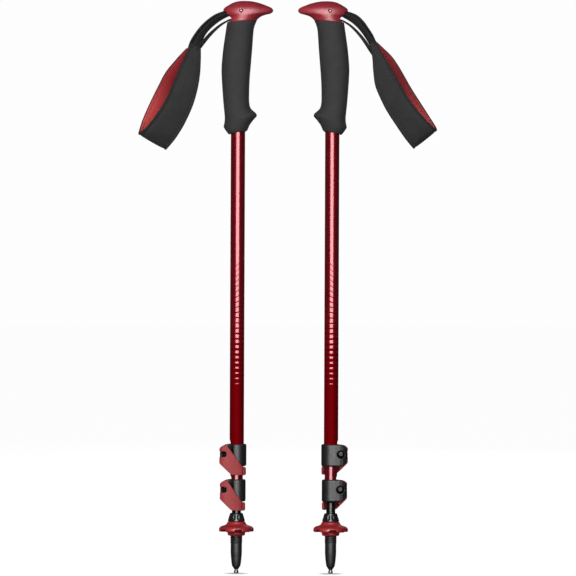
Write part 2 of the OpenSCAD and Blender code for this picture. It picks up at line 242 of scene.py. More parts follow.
def moulded(name, dark, base, rough=0.45, grain=2.2, coat=0.0, spec=0.5, edge_highlight=None, bump=0.12):
    """Moulded plastic: faint cloudiness, a fine spark-eroded grain and, if a colour is given, a painted highlight
    lightening convex edges.
    """
    m = Mat(name, **{"Specular_IOR_Level": spec})
    m.coords()
    cloud = m.noise(0.11, 3)
    grit = m.noise(grain, 3, 0.6)
    col = m.mix(m.remap(cloud, 0.3, 0.7, 0, 1), dark, base)
    if edge_highlight:
        # painted highlight: convex edges, found by pointiness, are lightened towards the given colour as if catching
        # light on their rounding
        geo = m.add("ShaderNodeNewGeometry")
        edge = m.remap(geo.outputs["Pointiness"], 0.52, 0.62, 0, 1, True)
        col = m.mix(m.math("MULTIPLY", edge, 0.55), col, edge_highlight)
    m.set("Base Color", col)
    m.set("Roughness", m.remap(m.noise(0.5, 5), 0.3, 0.7, rough - 0.06, rough + 0.08))
    m.set("Normal", m.bump(grit, bump, 0.00006))
    if coat:
        m.set("Coat Weight", coat)
        m.set("Coat Roughness", 0.2)
    return m.m


def glossy_above(mat, z, rough, coat):
    """Polishes the part of a moulding above a height: the cone over the basket."""
    t = mat.node_tree
    b = next(n for n in t.nodes if n.type == "BSDF_PRINCIPLED")
    tc = t.nodes.new("ShaderNodeTexCoord")
    sx = t.nodes.new("ShaderNodeSeparateXYZ")
    t.links.new(tc.outputs["Object"], sx.inputs[0])
    r = t.nodes.new("ShaderNodeMapRange")
    r.inputs["From Min"].default_value = z - 0.0002
    r.inputs["From Max"].default_value = z + 0.0002
    t.links.new(sx.outputs[2], r.inputs["Value"])
    old = b.inputs["Roughness"].links[0].from_socket
    mr = t.nodes.new("ShaderNodeMix")
    t.links.new(r.outputs[0], mr.inputs[0])
    t.links.new(old, mr.inputs[2])
    mr.inputs[3].default_value = rough
    t.links.new(mr.outputs[0], b.inputs["Roughness"])
    mc = t.nodes.new("ShaderNodeMath")
    mc.operation = "MULTIPLY"
    t.links.new(r.outputs[0], mc.inputs[0])
    mc.inputs[1].default_value = coat
    t.links.new(mc.outputs[0], b.inputs["Coat Weight"])
    b.inputs["Coat Roughness"].default_value = 0.1


def anodised(name, base, deep, side=None, stripes=False, rough=0.3, metallic=0.4, coat=1.0):
    """Drawn, anodised aluminium; on the upper shafts, printed rings that widen until they meet."""
    m = Mat(name, Metallic=metallic, **{"Specular_IOR_Level": 0.0})
    x0 = AX[side] * 1000 if side else 0.0
    m.coords(offset=(-x0, 0, 0))
    X, Y, Z = m.split()[:3]
    # fine drawing lines run along the tube
    ang = m.math("ARCTAN2", Y, X)
    cmb = m.add("ShaderNodeCombineXYZ")
    m.link(m.math("MULTIPLY", ang, 8.0), cmb.inputs[0])
    m.link(m.math("MULTIPLY", Z, 0.02), cmb.inputs[2])
    lines = m.noise(6.0, 4, 0.6, vec=cmb.outputs[0])
    cloud = m.noise(0.05, 3)
    col = m.mix(m.remap(cloud, 0.35, 0.65, 0, 1), base, tuple(0.8 * c for c in base))
    r = m.remap(lines, 0.3, 0.7, rough - 0.02, rough + 0.03)
    if stripes:
        s = 1.0 if side == "left" else -1.0
        k = m.remap(Z, 280, 335, 0, 1.0)
        lift = m.math("MULTIPLY", m.math("MULTIPLY", X, s), k)
        u = m.math("DIVIDE", m.math("SUBTRACT", Z, lift), 5.9)
        tri = m.math("ABSOLUTE", m.math("SUBTRACT", m.math("FRACT", u), 0.5))  # 0 at a ring's middle
        # half width of a satin ring, in ring spacings
        w = m.add("ShaderNodeFloatCurve")
        c = w.mapping.curves[0]
        c.points[0].location = (0.0, 0.47)
        c.points[1].location = (1.0, 0.075)
        for p in ((0.04, 0.425), (0.12, 0.38), (0.19, 0.335), (0.345, 0.225), (0.51, 0.13), (0.7, 0.10), (0.85, 0.085)):
            c.points.new(*p)
        w.mapping.update()
        m.link(m.remap(Z, 208, 350, 0, 1), w.inputs["Value"])
        inring = m.math("SUBTRACT", w.outputs[0], tri)
        ring = m.remap(inring, -0.02, 0.02, 0, 1)
        gate = m.remap(Z, 348.5, 349.5, 1, 0)
        solid = m.remap(Z, 211, 213, 1, 0)
        ring = m.math("MAXIMUM", m.math("MULTIPLY", ring, gate), solid)
        col = m.mix(ring, col, deep)
        r = m.math("ADD", m.math("MULTIPLY", r, m.math("SUBTRACT", 1.0, ring)), m.math("MULTIPLY", ring, 0.6))
        m.set("Coat Weight", m.remap(ring, 0, 1, coat, 0.0))
        m.set("Metallic", m.remap(ring, 0, 1, metallic, 0.12))
    else:
        m.set("Coat Weight", coat)
    m.set("Coat Roughness", 0.16)
    m.set("Base Color", col)
    m.set("Roughness", r)
    return m.m


def foam_mat():
    m = Mat("eva_foam", **{"Specular_IOR_Level": 0.3, "Sheen_Weight": 0.06, "Sheen_Roughness": 0.5})
    m.coords()
    vor = m.add("ShaderNodeTexVoronoi")
    vor.inputs["Scale"].default_value = 2.6
    m.link(m.co, vor.inputs["Vector"])
    cell = vor.outputs["Distance"]
    cloud = m.noise(0.09, 4)
    fine = m.noise(3.2, 4, 0.7)
    col = m.mix(m.remap(cloud, 0.3, 0.7, 0, 1), (0.0185, 0.0170, 0.0178), (0.0265, 0.0243, 0.0252))
    col = m.mix(m.remap(fine, 0.35, 0.75, 0, 0.45), col, (0.034, 0.031, 0.032))
    m.set("Base Color", col)
    m.set("Roughness", m.remap(fine, 0.3, 0.7, 0.72, 0.9))
    n1 = m.bump(fine, 0.35, 0.00022)
    m.set("Normal", m.bump(cell, 0.25, 0.00015, n1))
    return m.m


def woven(name, dark, light, pitch=0.9, fuzz=0.25, bump=0.6, sheen_tint=None, diag=False, shade_at_ends=None):
    """Plain or twill weave in object space, turned with the strap's own slope."""
    m = Mat(name, **{"Specular_IOR_Level": 0.25, "Sheen_Weight": fuzz, "Sheen_Roughness": 0.45})
    if sheen_tint:
        m.b.inputs["Sheen Tint"].default_value = (*sheen_tint, 1)
    at = m.add("ShaderNodeAttribute", attribute_name="weave")
    uv = m.add("ShaderNodeMapping")
    uv.inputs["Scale"].default_value = (1 / pitch, 1 / pitch, 1)
    m.link(at.outputs["Vector"], uv.inputs["Vector"])
    U, V = m.split(uv.outputs["Vector"])[:2]
    if diag:
        V = m.math("ADD", V, m.math("MULTIPLY", U, 0.5))
    su = m.math("SINE", m.math("MULTIPLY", U, math.pi * 2))
    sv = m.math("SINE", m.math("MULTIPLY", V, math.pi * 2))
    weave = m.math("MULTIPLY", su, sv)
    m.coords()
    n = m.noise(1.8, 4, 0.7)
    cloud = m.noise(0.07, 4)
    h = m.math("ADD", m.math("MULTIPLY", weave, 0.5), m.math("MULTIPLY", n, 0.9))
    col = m.mix(m.remap(weave, -0.6, 0.8, 0, 1), dark, light)
    col = m.mix(m.remap(n, 0.35, 0.75, 0, 0.5), col, tuple(1.35 * c for c in light))
    col = m.mix(m.remap(cloud, 0.35, 0.7, 0, 0.45), col, dark)
    if shade_at_ends:
        # painted shade: the lining deepens to a darker red towards both top ends of the band, away from the fold at
        # about 116 mm along it
        far = m.math("ABSOLUTE", m.math("SUBTRACT", m.split(at.outputs["Vector"])[0], 116.0))
        col = m.mix(m.remap(far, 30, 92, 0, 1, True), col, shade_at_ends)
    m.set("Base Color", col)
    m.set("Roughness", m.remap(n, 0.3, 0.7, 0.75, 0.95))
    m.set("Normal", m.bump(h, bump, 0.00018))
    return m.m


def metal(name, base, rough=0.28, brushed=True):
    m = Mat(name, Metallic=1.0)
    m.coords()
    n = m.noise(3.0, 4, 0.6)
    m.set("Base Color", m.mix(m.remap(n, 0.3, 0.7, 0, 1), base, tuple(0.7 * c for c in base)))
    m.set("Roughness", m.remap(m.noise(1.2, 5), 0.3, 0.7, rough - 0.08, rough + 0.12))
    m.set("Normal", m.bump(n, 0.1, 0.00005))
    return m.m


M = {}
for s in ("left", "right"):
    M[s + "_upper_tube"] = anodised(s + "_upper_tube", (0.22, 0.004, 0.011), (0.17, 0.0008, 0.003), side=s, stripes=True)
    M[s + "_middle_tube"] = anodised(s + "_middle_tube", (0.20, 0.006, 0.014), (0.10, 0.0015, 0.004), side=s)
    M[s + "_lower_tube"] = anodised(s + "_lower_tube", (0.010, 0.010, 0.0105), (0.01, 0.01, 0.01), side=s, metallic=0.2, coat=0.6, rough=0.3)
M["red_plastic"] = moulded("red_plastic", (0.40, 0.042, 0.046), (0.47, 0.054, 0.058), rough=0.5, edge_highlight=(0.60, 0.15, 0.15), spec=0.15)
M["cap_plastic"] = moulded("cap_plastic", (0.37, 0.026, 0.040), (0.44, 0.036, 0.052), rough=0.38, grain=2.6, edge_highlight=None, bump=0.05, spec=0.45)
M["basket_red"] = moulded("basket_red", (0.40, 0.022, 0.028), (0.47, 0.032, 0.040), rough=0.33, edge_highlight=(0.46, 0.05, 0.06), bump=0.06, spec=0.45)
M["clamp_plastic"] = moulded("clamp_plastic", (0.010, 0.010, 0.0105), (0.015, 0.015, 0.016), rough=0.43, edge_highlight=None, spec=0.42, bump=0.012)
M["black_plastic"] = moulded("black_plastic", (0.01, 0.01, 0.0105), (0.016, 0.016, 0.017), rough=0.5)
M["tip_plastic"] = moulded("tip_plastic", (0.011, 0.0108, 0.0112), (0.016, 0.0157, 0.0162), rough=0.45, edge_highlight=None, bump=0.02, spec=0.4)
glossy_above(M["tip_plastic"], 0.0575, 0.22, 0.35)
M["eva_foam"] = foam_mat()
M["strap_shell"] = woven("strap_shell", (0.014, 0.013, 0.0135), (0.034, 0.032, 0.0325), pitch=1.5, fuzz=0.08)
M["strap_lining"] = woven("strap_lining", (0.60, 0.055, 0.055), (0.86, 0.135, 0.125), pitch=1.1, fuzz=0.15, bump=0.14, sheen_tint=(0.9, 0.35, 0.35), diag=True, shade_at_ends=(0.36, 0.008, 0.016))
M["webbing"] = woven("webbing", (0.008, 0.008, 0.008), (0.02, 0.0195, 0.02), pitch=1.3, fuzz=0.06, bump=0.8)
M["thread"] = woven("thread", (0.03, 0.028, 0.029), (0.075, 0.07, 0.072), pitch=0.4, fuzz=0.2)
M["thread_red"] = woven("thread_red", (0.30, 0.02, 0.03), (0.5, 0.05, 0.06), pitch=0.4, fuzz=0.3)
M["steel"] = metal("steel", (0.62, 0.62, 0.64), 0.25)
M["pin_steel"] = metal("pin_steel", (0.22, 0.22, 0.225), 0.55)
PIN = (0.003, 0.6293)  # the rivet through the cap: x from the pole's axis, z
# painted highlight on the pin's end: a bright spot within about 0.3 to 0.8 mm of each pin's axis, dark beyond it,
# stands in for the glint of a domed pin head
t = M["pin_steel"].node_tree
pb = next(n for n in t.nodes if n.type == "BSDF_PRINCIPLED")
tc = t.nodes.new("ShaderNodeTexCoord")
sx = t.nodes.new("ShaderNodeSeparateXYZ")
t.links.new(tc.outputs["Object"], sx.inputs[0])
best = None
for s_ in ("left", "right"):
    cx, cz = AX[s_] * 1.0 + (PIN[0] if s_ == "left" else -PIN[0]), PIN[1]
    vm = t.nodes.new("ShaderNodeVectorMath")
    vm.operation = "DISTANCE"
    cb = t.nodes.new("ShaderNodeCombineXYZ")
    t.links.new(sx.outputs[0], cb.inputs[0])
    t.links.new(sx.outputs[2], cb.inputs[2])
    t.links.new(cb.outputs[0], vm.inputs[0])
    vm.inputs[1].default_value = (cx, 0, cz)
    if best is None:
        best = vm.outputs["Value"]
    else:
        mn = t.nodes.new("ShaderNodeMath")
        mn.operation = "MINIMUM"
        t.links.new(best, mn.inputs[0])
        t.links.new(vm.outputs["Value"], mn.inputs[1])
        best = mn.outputs[0]
mr = t.nodes.new("ShaderNodeMapRange")
mr.inputs["From Min"].default_value = 0.0003
mr.inputs["From Max"].default_value = 0.0008
t.links.new(best, mr.inputs["Value"])
mc = t.nodes.new("ShaderNodeMix")
mc.data_type = "RGBA"
t.links.new(mr.outputs[0], mc.inputs[0])
mc.inputs[6].default_value = (0.42, 0.42, 0.43, 1)
mc.inputs[7].default_value = (0.05, 0.045, 0.046, 1)
t.links.new(mc.outputs[2], pb.inputs["Base Color"])
M["black_steel"] = metal("black_steel", (0.016, 0.016, 0.017), 0.22)
M["carbide"] = metal("carbide", (0.17, 0.17, 0.18), 0.42)

# ------------------------------------------------------------------ camera, light and floor (world metres)

scene = bpy.context.scene
scene.view_settings.view_transform = "Standard"
scene.view_settings.look = "None"

PX = 1.12 * MM
cam_data = bpy.data.cameras.new("camera")
cam_data.sensor_width = 36
cam_data.lens = 250
cam = bpy.data.objects.new("camera", cam_data)
scene.collection.objects.link(cam)
dist = 576 * PX * 250 / 36
cam.location = (0.0009, -dist, 0.3195)
cam.matrix_world = Matrix.Translation(Vector(cam.location)) @ Matrix.Rotation(math.radians(90), 4, "X") @ Matrix.Rotation(math.radians(0.24), 4, "Z")
cam_data.clip_end = 50
scene.camera = cam


def area(name, loc, target, size, energy, color=(1, 1, 1), size_y=None, shape="RECTANGLE"):
    d = bpy.data.lights.new(name, "AREA")
    d.shape = shape
    d.size = size
    d.size_y = size_y or size
    d.energy = energy
    d.color = color
    o = bpy.data.objects.new(name, d)
    o.location = loc
    o.rotation_euler = (Vector(target) - Vector(loc)).to_track_quat("-Z", "Y").to_euler()
    o.visible_camera = False
    scene.collection.objects.link(o)
    return o


front = area("front_box", (-0.06, -2.2, 0.95), (-0.06, 0, 0.95), 1.85, 138, size_y=2.2)
front.visible_diffuse = False
key = area("key", (-2.1, -2.5, 1.2), (0, 0, 0.35), 1.3, 63, size_y=1.3)
fill = area("fill", (1.2, -3.1, 0.7), (0, 0, 0.35), 1.6, 46, size_y=1.6)
rear = area("rear", (1.2, 2.8, 1.2), (0, 0, 0.35), 1.6, 75, size_y=1.6)
rear_box = area("rear_box", (0.5, 2.4, 1.0), (0.5, 0, 1.0), 0.9, 1.5, size_y=1.9)
rear_box.visible_diffuse = False
for o in (key, fill, rear):
    o.visible_glossy = False

world = bpy.data.worlds.new("world")
scene.world = world
world.use_nodes = True
wt = world.node_tree
bg = next(n for n in wt.nodes if n.type == "BACKGROUND")
lp = wt.nodes.new("ShaderNodeLightPath")
bg2 = wt.nodes.new("ShaderNodeBackground")
mixw = wt.nodes.new("ShaderNodeMixShader")
outw = next(n for n in wt.nodes if n.type == "OUTPUT_WORLD")
bg.inputs["Color"].default_value = (0.55, 0.55, 0.57, 1)
bg.inputs["Strength"].default_value = 0.08
bg2.inputs["Color"].default_value = (1, 1, 1, 1)
bg2.inputs["Strength"].default_value = 0.985
wt.links.new(lp.outputs["Is Camera Ray"], mixw.inputs[0])
wt.links.new(bg.outputs[0], mixw.inputs[1])
wt.links.new(bg2.outputs[0], mixw.inputs[2])
wt.links.new(mixw.outputs[0], outw.inputs[0])

fl = bpy.data.meshes.new("floor")
fl.from_pydata([(-30, -30, 0), (30, -30, 0), (30, 30, 0), (-30, 30, 0)], [], [(0, 1, 2, 3)])
floor = bpy.data.objects.new("floor", fl)
floor.location.z = -0.0004
scene.collection.objects.link(floor)
fm = Mat("floor_white", Roughness=0.9, **{"Specular_IOR_Level": 0.0})
fm.coords(scale=(1, 1, 1))
fm.set("Base Color", fm.mix(fm.remap(fm.noise(2.0, 2), 0, 1, 0, 1), (0.05, 0.05, 0.0505), (0.052, 0.052, 0.052)))
fm.b.inputs["Emission Color"].default_value = (1, 1, 1, 1)
# painted contact shadow: the floor's glow is dimmed where ambient occlusion finds the pole tips close above it
ao = fm.add("ShaderNodeAmbientOcclusion", samples=8)
ao.inputs["Distance"].default_value = 0.013
fm.set("Emission Strength", fm.remap(ao.outputs["AO"], 0.84, 0.985, 0.35, 0.975, True))
floor.visible_glossy = False
floor.visible_diffuse = False
fl.materials.append(fm.m)

# ------------------------------------------------------------------ grip foam

# rear x, rear z, front x, front z, half width: rings through the grip's side outline
FOAM = [
    (-10.4, 491.3, 10.2, 495.7, 10.5), (-10.8, 491.7, 10.7, 496.2, 11.0), (-12.4, 493.6, 11.7, 498.7, 12.3), (-14.1, 495.9, 13.5, 502.5, 13.4),
    (-15.6, 498.2, 17.2, 507.5, 14.3), (-16.2, 499.7, 20.2, 510.8, 14.8), (-16.0, 501.3, 21.0, 512.4, 14.9),
    (-15.4, 503.9, 20.2, 514.9, 14.8), (-15.0, 507.0, 17.4, 517.4, 14.5), (-15.0, 511.0, 14.5, 520.2, 14.1),
    (-15.4, 515.5, 13.1, 523.4, 13.8), (-16.2, 523.0, 12.4, 528.3, 13.6), (-16.9, 531.0, 12.3, 534.4, 13.6), (-17.8, 543.0, 12.5, 545.0, 13.9),
    (-18.6, 556.0, 13.1, 557.0, 14.2), (-18.8, 565.0, 13.8, 565.5, 14.3), (-18.2, 575.0, 14.6, 575.3, 14.1),
    (-16.9, 588.0, 15.6, 588.0, 13.8), (-15.2, 600.0, 16.4, 600.0, 13.5), (-13.9, 609.0, 17.3, 609.3, 13.4),
    (-13.2, 613.6, 18.7, 614.4, 13.5), (-12.7, 616.2, 20.2, 617.8, 13.6), (-12.3, 616.9, 20.4, 618.7, 13.4),
]


def oval(row, n=72, power=2.25, beak=0.0):
    xr, zr, xf, zf, w = row
    a = np.linspace(0, 2 * math.pi, n, endpoint=False)
    c, s = np.cos(a), np.sin(a)
    e = 2 / power
    u = np.sign(c) * np.abs(c) ** e
    v = np.sign(s) * np.abs(s) ** e
    x = (xr + xf) / 2 + (xf - xr) / 2 * u
    t = (x - xr) / (xf - xr)
    z = zr + (zf - zr) * t
    y = w * v * (1 - beak * np.clip(x / 38.0, 0, 1) ** 1.6)
    return np.stack([x, y, z], -1)


def make_foam(side):
    rows = smooth_rows(FOAM, 6)
    out = []
    for r in rows:
        p = oval(r)
        # the ridge of the lower flare arches up a little over each flank
        mid = (r[1] + r[3]) / 2
        k = math.exp(-((mid - 507.5) / 5.5) ** 2)
        ang = np.linspace(0, 2 * math.pi, len(p), endpoint=False)
        p[:, 2] += 1.9 * k * np.sin(ang) ** 2
        out.append(p)
    a = np.linspace(0, 2 * math.pi, 72, endpoint=False)

    def bore(zr, zf, ri):
        return np.stack([ri * np.cos(a), ri * np.sin(a), (zr + zf) / 2 + (zf - zr) / 2 * np.cos(a) * 0.6], -1)
    inner = [bore(616.8, 618.2, 10.08), bore(560, 560, 10.08), bore(499.6, 499.6, 10.08), bore(498.6, 498.6, 8.25), bore(492.6, 494.6, 8.25)]
    # the inner rows run back down to the start, so the skin closes on itself
    v, f = grid(place(side, np.array(out + inner)), wrap_v=True)
    ob = new_object(side + "_foam_grip", v, f)
    return finish_piece(ob, M["eva_foam"], side + "_upper", (side + "_grip_foam",))


# ------------------------------------------------------------------ grip cap

CAP = [
    (-12.3, 616.5, 20.9, 619.1, 13.9), (-11.5, 617.6, 21.2, 620.0, 14.1), (-10.3, 620.5, 22.5, 621.3, 14.4), (-10.9, 622.2, 25.8, 623.7, 14.8),
    (-12.9, 623.8, 30.8, 625.5, 15.1), (-15.8, 625.6, 35.8, 626.7, 15.3), (-16.9, 628.2, 38.4, 628.5, 15.2),
    (-17.1, 630.2, 38.9, 630.4, 15.0), (-16.4, 632.1, 37.8, 632.5, 14.4), (-14.8, 633.7, 35.2, 634.1, 13.6),
    (-11.0, 636.1, 30.0, 636.2, 11.9), (-7.6, 638.0, 25.4, 637.9, 9.9), (-4.0, 639.5, 19.7, 639.5, 7.2),
    (0.6, 640.5, 13.8, 640.5, 4.0), (4.6, 640.8, 9.6, 640.8, 1.3),
]


def cutter(name, verts_faces):
    return new_object(name, *verts_faces, smooth=False)


def box_mesh(lo, hi):
    x0, y0, z0 = lo
    x1, y1, z1 = hi
    v = [(x0, y0, z0), (x1, y0, z0), (x1, y1, z0), (x0, y1, z0), (x0, y0, z1), (x1, y0, z1), (x1, y1, z1), (x0, y1, z1)]
    f = [(0, 3, 2, 1), (4, 5, 6, 7), (0, 1, 5, 4), (1, 2, 6, 5), (2, 3, 7, 6), (3, 0, 4, 7)]
    return np.array(v, float), f


def ybar_mesh(x, z, r, y0, y1, n=40):
    a = np.linspace(0, 2 * math.pi, n, endpoint=False)
    rows = [np.stack([x + r * np.cos(a), np.full(n, y), z + r * np.sin(a)], -1) for y in (y0, y1)]
    return grid(np.array(rows), cap_start=True, cap_end=True)


def make_cap(side):
    rows = smooth_rows(CAP, 6)
    pts = np.array([oval(r, 96, 2.15, 0.30) for r in rows])
    v, f = grid(place(side, pts), cap_start=True, cap_end=True)
    ob = new_object(side + "_cap", v, f)
    cuts = [box_mesh((-10.5, -7.5, 620), (7, 7.5, 633.4)), box_mesh((-30, -7.5, 618.4), (-9, 7.5, 628.6)),
            ybar_mesh(-15, 621.5, 6.0, -7.5, 7.5), ybar_mesh(3, 629.3, 1.95, -20, -12.6), ybar_mesh(3, 629.3, 1.95, 12.6, 20)]
    made = []
    for i, (cv, cf) in enumerate(cuts):
        c = new_object(f"{side}_cap_cut{i}", place(side, cv), cf, smooth=False)
        md = ob.modifiers.new("cut", "BOOLEAN")
        md.operation = "DIFFERENCE"
        md.object = c
        md.solver = "EXACT"
        made.append(c)
    rm = ob.modifiers.new("skin", "REMESH")
    rm.mode = "VOXEL"
    rm.voxel_size = 0.00042
    sm = ob.modifiers.new("soften", "SMOOTH")
    sm.factor = 0.5
    sm.iterations = 4
    apply_mods(ob)
    for c in made:
        bpy.data.objects.remove(c)
    return finish_piece(ob, M["cap_plastic"], side + "_upper", (side + "_grip_cap",))


# ------------------------------------------------------------------ clamps: rounded copies of the exact parts


def softened(node, name, mat, body, voxel=0.0003, iters=4, ratio=1.0):
    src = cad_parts[node]
    ob = bpy.data.objects.new(name, src.data.copy())
    scene.collection.objects.link(ob)
    rm = ob.modifiers.new("skin", "REMESH")
    rm.mode = "VOXEL"
    rm.voxel_size = voxel
    sm = ob.modifiers.new("soften", "SMOOTH")
    sm.factor = 0.5
    sm.iterations = iters
    if ratio < 1:
        d = ob.modifiers.new("light", "DECIMATE")
        d.ratio = ratio
    apply_mods(ob)
    return finish_piece(ob, mat, body, (node,))


# ------------------------------------------------------------------ revolved pieces


def revolve(side, name, profile, n=96, wobble=None):
    a = np.linspace(0, 2 * math.pi, n, endpoint=False)
    rows = []
    for r, z in profile:
        rr, zz = np.full(n, float(r)), np.full(n, float(z))
        if wobble:
            rr, zz = wobble(rr, zz, a)
        rows.append(np.stack([rr * np.cos(a), rr * np.sin(a), zz], -1))
    v, f = grid(place(side, np.array(rows)), wrap_v=True)
    return new_object(name, v, f)


def rounded(profile, radius=0.5, steps=3):
    """Rounds the corners of a closed profile."""
    p = np.asarray(profile, float)
    out = []
    n = len(p)
    for i in range(n):
        a, b, c = p[i - 1], p[i], p[(i + 1) % n]
        u, w = a - b, c - b
        lu, lw = np.linalg.norm(u), np.linalg.norm(w)
        if lu < 1e-6 or lw < 1e-6:
            continue
        d = min(radius, lu * 0.45, lw * 0.45)
        p0, p1 = b + u / lu * d, b + w / lw * d
        for k in range(steps + 1):
            t = k / steps
            out.append((1 - t) ** 2 * p0 + 2 * t * (1 - t) * b + t * t * p1)
    return out


def make_basket(side):
    prof = [(6.98, 42.1), (8.2, 42.0), (9.4, 42.6), (9.9, 44.0), (10.0, 45.9), (11.2, 46.6), (18.7, 46.6), (19.35, 47.2),
            (19.5, 48.8), (19.2, 50.4), (18.3, 51.7), (16.7, 52.6), (14.4, 53.3), (12.4, 54.0), (11.1, 55.0), (10.4, 56.2), (10.0, 57.2), (9.4, 57.8),
            (8.4, 58.05), (6.98, 58.05)]

    def wob(r, z, a):
        k = np.clip((r - 11.4) / 1.6, 0, 1)
        c = np.cos(6 * a + math.radians(132))
        notch = np.clip((c + 0.02) / 0.55, 0, 1)
        notch = notch * notch * (3 - 2 * notch)
        low = np.clip((50.6 - z) / 3.4, 0, 1)
        z = z + k * low * 2.1 * notch
        r = r - np.clip((r - 15.0) / 4.0, 0, 1) * 0.7 * notch * low
        return r, z
    fine = rounded(prof, 0.8, 4)
    # extra rings over the flange so the scallops have smooth walls
    out = []
    for i, p in enumerate(fine):
        q = fine[(i + 1) % len(fine)]
        L = math.hypot(q[0] - p[0], q[1] - p[1])
        m = max(1, int(L / 0.5)) if p[0] > 10 and q[0] > 10 else 1
        out += [(p[0] + (q[0] - p[0]) * j / m, p[1] + (q[1] - p[1]) * j / m) for j in range(m)]
    ob = revolve(side, side + "_snow_basket", out, 240, wob)
    return finish_piece(ob, M["basket_red"], side + "_basket", (side + "_basket",))


def make_ferrule(side):
    outer = [(1.66, 4.3), (2.2, 4.3), (3.2, 5.9), (4.7, 8.2), (5.3, 11.5), (5.7, 15.0), (6.1, 20.0), (6.3, 23.5), (6.3, 33.2)]
    outer = [tuple(p) for p in rounded([(0, 0)] + outer + [(0, 60)], 0.5)[4:-4]]
    n = 96
    a = np.linspace(0, 2 * math.pi, n, endpoint=False)
    rows = []

    def row(r, z):
        rr = np.full(n, float(r)) if np.isscalar(r) else r
        rows.append(np.stack([rr * np.cos(a), rr * np.sin(a), np.full(n, float(z))], -1))
    for r, z in outer:
        row(r, z)
    # rolled thread, 2 mm pitch, fading in from below
    for z in np.arange(33.4, 42.6, 0.16):
        ph = (z / 2.0 - a / (2 * math.pi)) % 1.0
        ridge = np.clip(1.35 - np.abs(ph - 0.5) * 4.2, 0, 1)
        fade = min(1, max(0, (z - 33.4) / 1.2))
        row(6.35 + 0.5 * ridge * fade, z)
    for r, z in [(6.85, 43.0), (6.85, 58.25), (9.1, 58.25), (9.45, 58.4), (9.55, 58.8), (9.5, 59.2)]:
        row(r, z)
    # fluted cone
    for z in np.linspace(59.4, 66.3, 16):
        t = (z - 59.2) / 8.1
        base = 9.5 + (7.05 - 9.5) * t
        fl = np.clip(np.cos(12 * a) * 1.6 - 0.4, -1, 1)
        env = max(0.0, math.sin(math.pi * min(1, max(0, (z - 59.4) / 6.9)))) ** 0.5
        row(base - 0.16 * env * (1 - fl), z)
    for r, z in [(7.1, 66.9), (6.85, 67.2), (6.4, 67.3), (5.4, 67.3), (5.2, 67.1), (5.18, 60), (5.18, 40), (1.66, 39.6), (1.66, 12)]:
        row(r, z)
    v, f = grid(place(side, np.array(rows)), wrap_v=True)
    ob = new_object(side + "_ferrule", v, f)
    return finish_piece(ob, M["tip_plastic"], side + "_lower", (side + "_tip_ferrule",))


# ------------------------------------------------------------------ wrist straps


def station(side, left, right, yl, yr):
    """One cross line of the band. The numbers are positions on a front elevation, 1.12 mm a step, floor at 573.3."""
    ax = 237.95 if side == "left" else 332.6
    s = 1.0 if side == "left" else -1.0

    def pt(p, y):
        return np.array([s * (p[0] - ax) * 1.12, y, (573.3 - p[1]) * 1.12])
    a, b = pt(left, yl), pt(right, yr)
    return np.concatenate([(a + b) / 2, (b - a) / 2])


# outer edge, inner edge (towards the pole), depth of each
BAND = {
    "left": [
        ((190.0, 44.0), (200.3, 48.5), -3.2, -1.6), ((185.4, 55.6), (200.3, 61.0), -7.0, -3.6), ((179.6, 68.6), (199.5, 75.6), -11.4, -5.0),
        ((173.4, 83.6), (197.0, 90.6), -14.6, -5.8), ((166.6, 99.8), (192.2, 107.0), -16.8, -6.0), ((157.6, 114.6), (184.0, 125.0), -17.8, -5.8),
        ((149.0, 126.0), (175.6, 138.6), -17.4, -4.8), ((143.2, 131.8), (169.6, 145.8), -15.0, -1.6), ((139.4, 133.4), (167.0, 148.6), -10.4, 2.6),
        ((139.0, 133.6), (166.4, 148.9), -5.6, 7.4), ((139.0, 132.4), (166.8, 147.4), -0.4, 12.4), ((140.0, 128.4), (168.6, 142.6), 3.2, 16.2),
        ((142.4, 120.6), (172.0, 134.0), 5.4, 18.2), ((147.2, 109.0), (177.0, 122.0), 6.2, 18.6), ((152.8, 97.0), (181.6, 108.6), 6.0, 17.8),
        ((158.6, 85.4), (185.4, 95.6), 5.2, 15.6), ((165.4, 72.6), (189.6, 81.4), 4.2, 12.2), ((176.6, 58.8), (194.6, 65.4), 3.0, 7.4),
        ((186.0, 48.6), (198.0, 52.0), 2.0, 3.4)],
    "right": [
        ((375.4, 40.2), (369.6, 44.0), -3.2, -1.6), ((380.6, 51.4), (372.4, 56.6), -7.0, -3.8), ((387.6, 63.0), (373.5, 71.0), -11.4, -5.2),
        ((393.9, 73.6), (375.5, 85.4), -14.4, -6.0), ((400.2, 85.0), (380.6, 98.0), -16.6, -6.2), ((406.9, 96.6), (386.7, 110.0), -17.6, -6.0),
        ((415.4, 108.4), (394.7, 122.4), -17.8, -5.6), ((426.0, 120.4), (403.8, 135.6), -16.8, -4.2), ((432.6, 126.6), (409.8, 143.2), -14.2, -1.2),
        ((435.6, 128.6), (412.6, 146.4), -9.8, 3.0), ((436.4, 128.8), (413.4, 147.0), -5.0, 7.8), ((436.2, 127.0), (412.6, 145.4), 0.2, 12.8),
        ((433.8, 122.6), (409.4, 141.0), 3.6, 16.4), ((427.8, 113.2), (403.6, 131.0), 5.6, 18.2), ((419.4, 100.2), (396.0, 117.6), 6.2, 18.4),
        ((411.6, 88.0), (389.0, 104.6), 5.8, 17.2), ((404.8, 76.2), (383.4, 91.6), 5.0, 15.0), ((398.2, 65.0), (379.4, 78.6), 4.2, 12.2),
        ((391.6, 55.8), (376.4, 66.0), 3.4, 8.8), ((383.0, 47.4), (372.4, 54.0), 2.6, 5.2), ((376.4, 41.2), (370.4, 45.0), 2.0, 3.2)],
}


